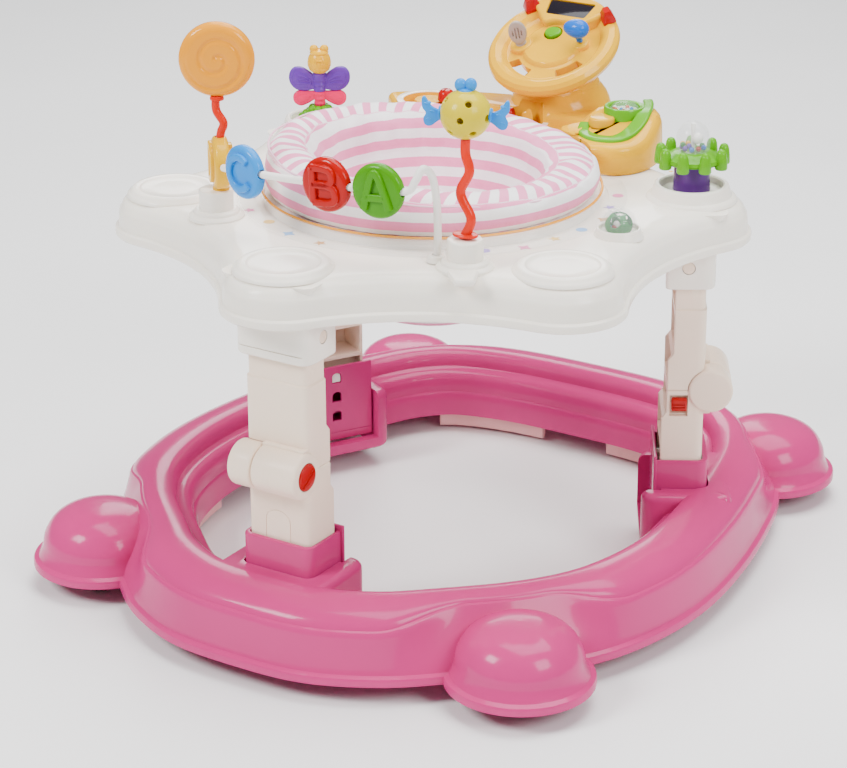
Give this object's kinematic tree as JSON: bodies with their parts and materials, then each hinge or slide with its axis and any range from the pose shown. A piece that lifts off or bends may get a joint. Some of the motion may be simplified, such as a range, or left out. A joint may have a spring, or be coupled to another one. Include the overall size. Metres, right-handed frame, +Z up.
{
  "type": "baby walker",
  "caption": "Baby walker: wheeled base ring, folding height-adjustable legs and a round-lobed toy tray that carries a turning padded seat and a play centre.",
  "frame": {"origin": "on the floor under the middle of the base ring", "axes": "+Y towards the play centre at the front, +Z up, +X to the seated child's right"},
  "size_m": [0.6438, 0.732, 0.569],
  "materials": {
    "base_pink": "glossy injection-moulded pink plastic",
    "grip_pad": "soft translucent grip material",
    "castor": "satin mauve-brown plastic",
    "leg_cream": "satin cream plastic",
    "tray_white": "glossy cream-white plastic",
    "red": "glossy red plastic",
    "white": "glossy white plastic",
    "clear": "clear moulded plastic",
    "seat_cloth": "woven cloth, pink and white stripes",
    "yellow": "glossy yellow plastic",
    "gold": "glossy golden plastic",
    "blue": "glossy blue plastic",
    "lime": "glossy lime plastic",
    "orange": "flexible orange plastic",
    "fish": "glossy yellow-green plastic",
    "violet": "glossy violet plastic",
    "purple": "glossy purple plastic",
    "green": "glossy green plastic"
  },
  "bodies": {
    "base": {"base_shell": "base_pink", "grip_pad_front_left": "grip_pad", "grip_pad_front_right": "grip_pad", "grip_pad_left": "grip_pad", "grip_pad_right": "grip_pad"},
    "castor_rear_left": {"castor_fork_rear_left": "castor"},
    "wheel_rear_left": {"castor_wheel_rear_left": "castor"},
    "castor_rear_right": {"castor_fork_rear_right": "castor"},
    "wheel_rear_right": {"castor_wheel_rear_right": "castor"},
    "castor_front_left": {"castor_fork_front_left": "castor"},
    "wheel_front_left": {"castor_wheel_front_left": "castor"},
    "castor_front_right": {"castor_fork_front_right": "castor"},
    "wheel_front_right": {"castor_wheel_front_right": "castor"},
    "sleeve_rear": {"leg_sleeve_rear": "base_pink"},
    "lower_leg_rear": {"lower_leg_rear": "leg_cream"},
    "upper_leg_rear": {"upper_leg_rear": "leg_cream"},
    "knee_pin_rear": {"knee_lock_pin_rear": "red"},
    "latch_tab_rear": {"latch_tab_rear": "red"},
    "height_latch_rear": {"height_latch_rear": "white"},
    "sleeve_right": {"leg_sleeve_right": "base_pink"},
    "lower_leg_right": {"lower_leg_right": "leg_cream"},
    "upper_leg_right": {"upper_leg_right": "leg_cream"},
    "knee_pin_right": {"knee_lock_pin_right": "red"},
    "latch_tab_right": {"latch_tab_right": "red"},
    "height_latch_right": {"height_latch_right": "white"},
    "sleeve_left": {"leg_sleeve_left": "base_pink"},
    "lower_leg_left": {"lower_leg_left": "leg_cream"},
    "upper_leg_left": {"upper_leg_left": "leg_cream"},
    "knee_pin_left": {"knee_lock_pin_left": "red"},
    "latch_tab_left": {"latch_tab_left": "red"},
    "height_latch_left": {"height_latch_left": "white"},
    "tray": {"tray": "tray_white", "window_ring": "clear", "bead_bar": "white", "letter_block_d": "yellow", "grass_mound": "lime", "rattle_drum": "purple", "ball_window": "clear", "play_body": "yellow"},
    "seat": {"seat_ring": "white", "seat_pad": "seat_cloth"},
    "bead_a": {"letter_bead_a": "lime"},
    "bead_b": {"letter_bead_b": "red"},
    "bead_c": {"letter_bead_c": "blue"},
    "butterfly": {"butterfly": "violet"},
    "rattle": {"rattle_gear": "lime", "rattle_dome": "clear"},
    "spin_ball": {"spin_ball": "green"},
    "lollipop": {"lollipop_stalk": "orange", "lollipop": "gold"},
    "fish_stalk": {"fish_stalk": "orange"},
    "fish": {"fish": "fish"},
    "steering_wheel": {"steering_wheel": "yellow"},
    "horn_button": {"horn_button": "green"},
    "wheel_key_left": {"wheel_key_left": "red"},
    "wheel_key_right": {"wheel_key_right": "red"},
    "play_lever": {"play_lever": "blue"},
    "play_button": {"play_button": "yellow"},
    "slider_knob_left": {"slider_knob_left": "red"},
    "slider_knob_right": {"slider_knob_right": "red"}
  },
  "joints": [
    {"name": "castor_swivel_rear_left", "type": "hinge", "parent": "base", "child": "castor_rear_left", "pos_m": [-0.241, -0.249, 0.05], "axis": [0, 0, 1], "continuous": true},
    {"name": "wheel_spin_rear_left", "type": "hinge", "parent": "castor_rear_left", "child": "wheel_rear_left", "pos_m": [-0.22786, -0.27372, 0.018], "axis": [0.8829, 0.4695, 0], "continuous": true},
    {"name": "castor_swivel_rear_right", "type": "hinge", "parent": "base", "child": "castor_rear_right", "pos_m": [0.241, -0.249, 0.05], "axis": [0, 0, 1], "continuous": true},
    {"name": "wheel_spin_rear_right", "type": "hinge", "parent": "castor_rear_right", "child": "wheel_rear_right", "pos_m": [0.25415, -0.27372, 0.018], "axis": [0.8829, 0.4695, 0], "continuous": true},
    {"name": "castor_swivel_front_left", "type": "hinge", "parent": "base", "child": "castor_front_left", "pos_m": [-0.228, 0.297, 0.05], "axis": [0, 0, 1], "continuous": true},
    {"name": "wheel_spin_front_left", "type": "hinge", "parent": "castor_front_left", "child": "wheel_front_left", "pos_m": [-0.21485, 0.27228, 0.018], "axis": [0.8829, 0.4695, 0], "continuous": true},
    {"name": "castor_swivel_front_right", "type": "hinge", "parent": "base", "child": "castor_front_right", "pos_m": [0.228, 0.297, 0.05], "axis": [0, 0, 1], "continuous": true},
    {"name": "wheel_spin_front_right", "type": "hinge", "parent": "castor_front_right", "child": "wheel_front_right", "pos_m": [0.24114, 0.27228, 0.018], "axis": [0.8829, 0.4695, 0], "continuous": true},
    {"name": "fold", "type": "hinge", "parent": "base", "child": "sleeve_rear", "pos_m": [0, -0.265, 0.06], "axis": [-1, 0, 0], "range_deg": [0, 75]},
    {"name": "height", "type": "slide", "parent": "sleeve_rear", "child": "lower_leg_rear", "axis": [0, 0, 1], "range_m": [-0.044, 0]},
    {"name": "knee_rear", "type": "hinge", "parent": "lower_leg_rear", "child": "upper_leg_rear", "pos_m": [0, -0.291, 0.19], "axis": [-1, 0, 0], "range_deg": [-150, 0]},
    {"name": "knee_lock_rear", "type": "slide", "parent": "upper_leg_rear", "child": "knee_pin_rear", "axis": [-1, 0, 0], "range_m": [0, 0.004], "stiffness_N_per_m": 900, "springref_m": -0.0005},
    {"name": "side_latch_rear", "type": "slide", "parent": "lower_leg_rear", "child": "latch_tab_rear", "axis": [0, 0, -1], "range_m": [0, 0.005], "stiffness_N_per_m": 500, "springref_m": -0.0005},
    {"name": "height_button_rear", "type": "slide", "parent": "lower_leg_rear", "child": "height_latch_rear", "axis": [0, -1, 0], "range_m": [0, 0.004], "stiffness_N_per_m": 600, "springref_m": -0.0005},
    {"name": "sleeve_hinge_right", "type": "hinge", "parent": "base", "child": "sleeve_right", "pos_m": [0.21651, 0.11, 0.06], "axis": [0.5, -0.866, 0], "range_deg": [0, 75]},
    {"name": "height_right", "type": "slide", "parent": "sleeve_right", "child": "lower_leg_right", "axis": [0, 0, 1], "range_m": [-0.044, 0]},
    {"name": "knee_right", "type": "hinge", "parent": "lower_leg_right", "child": "upper_leg_right", "pos_m": [0.23902, 0.123, 0.19], "axis": [0.5, -0.866, 0], "range_deg": [-150, 0]},
    {"name": "knee_lock_right", "type": "slide", "parent": "upper_leg_right", "child": "knee_pin_right", "axis": [0.5, -0.866, 0], "range_m": [0, 0.004], "stiffness_N_per_m": 900, "springref_m": -0.0005},
    {"name": "side_latch_right", "type": "slide", "parent": "lower_leg_right", "child": "latch_tab_right", "axis": [0, 0, -1], "range_m": [0, 0.005], "stiffness_N_per_m": 500, "springref_m": -0.0005},
    {"name": "height_button_right", "type": "slide", "parent": "lower_leg_right", "child": "height_latch_right", "axis": [0.866, 0.5, 0], "range_m": [0, 0.004], "stiffness_N_per_m": 600, "springref_m": -0.0005},
    {"name": "sleeve_hinge_left", "type": "hinge", "parent": "base", "child": "sleeve_left", "pos_m": [-0.21651, 0.11, 0.06], "axis": [0.5, 0.866, 0], "range_deg": [0, 75]},
    {"name": "height_left", "type": "slide", "parent": "sleeve_left", "child": "lower_leg_left", "axis": [0, 0, 1], "range_m": [-0.044, 0]},
    {"name": "knee_left", "type": "hinge", "parent": "lower_leg_left", "child": "upper_leg_left", "pos_m": [-0.23902, 0.123, 0.19], "axis": [0.5, 0.866, 0], "range_deg": [-150, 0]},
    {"name": "knee_lock_left", "type": "slide", "parent": "upper_leg_left", "child": "knee_pin_left", "axis": [0.5, 0.866, 0], "range_m": [0, 0.004], "stiffness_N_per_m": 900, "springref_m": -0.0005},
    {"name": "side_latch_left", "type": "slide", "parent": "lower_leg_left", "child": "latch_tab_left", "axis": [0, 0, -1], "range_m": [0, 0.005], "stiffness_N_per_m": 500, "springref_m": -0.0005},
    {"name": "height_button_left", "type": "slide", "parent": "lower_leg_left", "child": "height_latch_left", "axis": [-0.866, 0.5, 0], "range_m": [0, 0.004], "stiffness_N_per_m": 600, "springref_m": -0.0005},
    {"name": "tray_pivot", "type": "hinge", "parent": "upper_leg_rear", "child": "tray", "pos_m": [0, -0.265, 0.32], "axis": [-1, 0, 0], "range_deg": [0, 75]},
    {"name": "seat_turn", "type": "hinge", "parent": "tray", "child": "seat", "pos_m": [0, -0.015, 0.38], "axis": [0, 0, 1], "continuous": true},
    {"name": "bead_spin_a", "type": "hinge", "parent": "tray", "child": "bead_a", "pos_m": [0.07649, -0.22596, 0.45404], "axis": [0.9934, 0.0906, 0.0704], "continuous": true},
    {"name": "bead_spin_b", "type": "hinge", "parent": "tray", "child": "bead_b", "pos_m": [0.02221, -0.228, 0.45151], "axis": [0.9983, -0.0109, 0.0576], "continuous": true},
    {"name": "bead_spin_c", "type": "hinge", "parent": "tray", "child": "bead_c", "pos_m": [-0.07768, -0.21553, 0.44328], "axis": [0.9547, -0.2706, 0.124], "continuous": true},
    {"name": "butterfly_spin", "type": "hinge", "parent": "tray", "child": "butterfly", "pos_m": [-0.21824, 0.111, 0.41], "axis": [0, 0, 1], "continuous": true},
    {"name": "rattle_spin", "type": "hinge", "parent": "tray", "child": "rattle", "pos_m": [0.21824, 0.111, 0.41], "axis": [0, 0, 1], "continuous": true},
    {"name": "ball_spin", "type": "hinge", "parent": "tray", "child": "spin_ball", "pos_m": [0.213, -0.027, 0.3925], "axis": [0, 0, 1], "continuous": true},
    {"name": "lollipop_wobble", "type": "hinge", "parent": "tray", "child": "lollipop", "pos_m": [-0.134, -0.178, 0.457], "axis": [0.848, 0.5299, 0], "range_deg": [-8, 8], "stiffness_Nm_per_rad": 0.8},
    {"name": "fish_wobble", "type": "hinge", "parent": "tray", "child": "fish_stalk", "pos_m": [0.139, -0.18, 0.409], "axis": [0, 1, 0], "range_deg": [-8, 8], "stiffness_Nm_per_rad": 1.2},
    {"name": "fish_spin", "type": "hinge", "parent": "fish_stalk", "child": "fish", "pos_m": [0.139, -0.18, 0.5], "axis": [0, 0, 1], "continuous": true},
    {"name": "wheel_turn", "type": "hinge", "parent": "tray", "child": "steering_wheel", "pos_m": [-0.002, 0.225, 0.472], "axis": [0, -0.5, 0.866], "range_deg": [-45, 45]},
    {"name": "horn_button_press", "type": "slide", "parent": "steering_wheel", "child": "horn_button", "axis": [0, 0.5, -0.866], "range_m": [0, 0.002], "stiffness_N_per_m": 400, "springref_m": -0.0005},
    {"name": "wheel_key_left_press", "type": "slide", "parent": "steering_wheel", "child": "wheel_key_left", "axis": [0, 0.5, -0.866], "range_m": [0, 0.002], "stiffness_N_per_m": 400, "springref_m": -0.0005},
    {"name": "wheel_key_right_press", "type": "slide", "parent": "steering_wheel", "child": "wheel_key_right", "axis": [0, 0.5, -0.866], "range_m": [0, 0.002], "stiffness_N_per_m": 400, "springref_m": -0.0005},
    {"name": "lever_tilt", "type": "hinge", "parent": "steering_wheel", "child": "play_lever", "pos_m": [0.028, 0.2259, 0.48245], "axis": [0, 0.866, 0.5], "range_deg": [-15, 15]},
    {"name": "play_button_press", "type": "slide", "parent": "tray", "child": "play_button", "axis": [0, 0, -1], "range_m": [0, 0.003], "stiffness_N_per_m": 500, "springref_m": -0.0005},
    {"name": "slider_left", "type": "hinge", "parent": "tray", "child": "slider_knob_left", "pos_m": [-0.118, 0.167, 0.414], "axis": [0, 0, 1], "range_deg": [-20, 160]},
    {"name": "slider_right", "type": "hinge", "parent": "tray", "child": "slider_knob_right", "pos_m": [-0.012, 0.179, 0.402], "axis": [0, 0, 1], "range_deg": [0, 170]}
  ],
  "couplings": [
    {"joint": "knee_rear", "follows": "fold", "ratio": -2},
    {"joint": "sleeve_hinge_right", "follows": "fold", "ratio": 1},
    {"joint": "height_right", "follows": "height", "ratio": 1},
    {"joint": "knee_right", "follows": "fold", "ratio": -2},
    {"joint": "sleeve_hinge_left", "follows": "fold", "ratio": 1},
    {"joint": "height_left", "follows": "height", "ratio": 1},
    {"joint": "knee_left", "follows": "fold", "ratio": -2},
    {"joint": "tray_pivot", "follows": "fold", "ratio": 1}
  ]
}
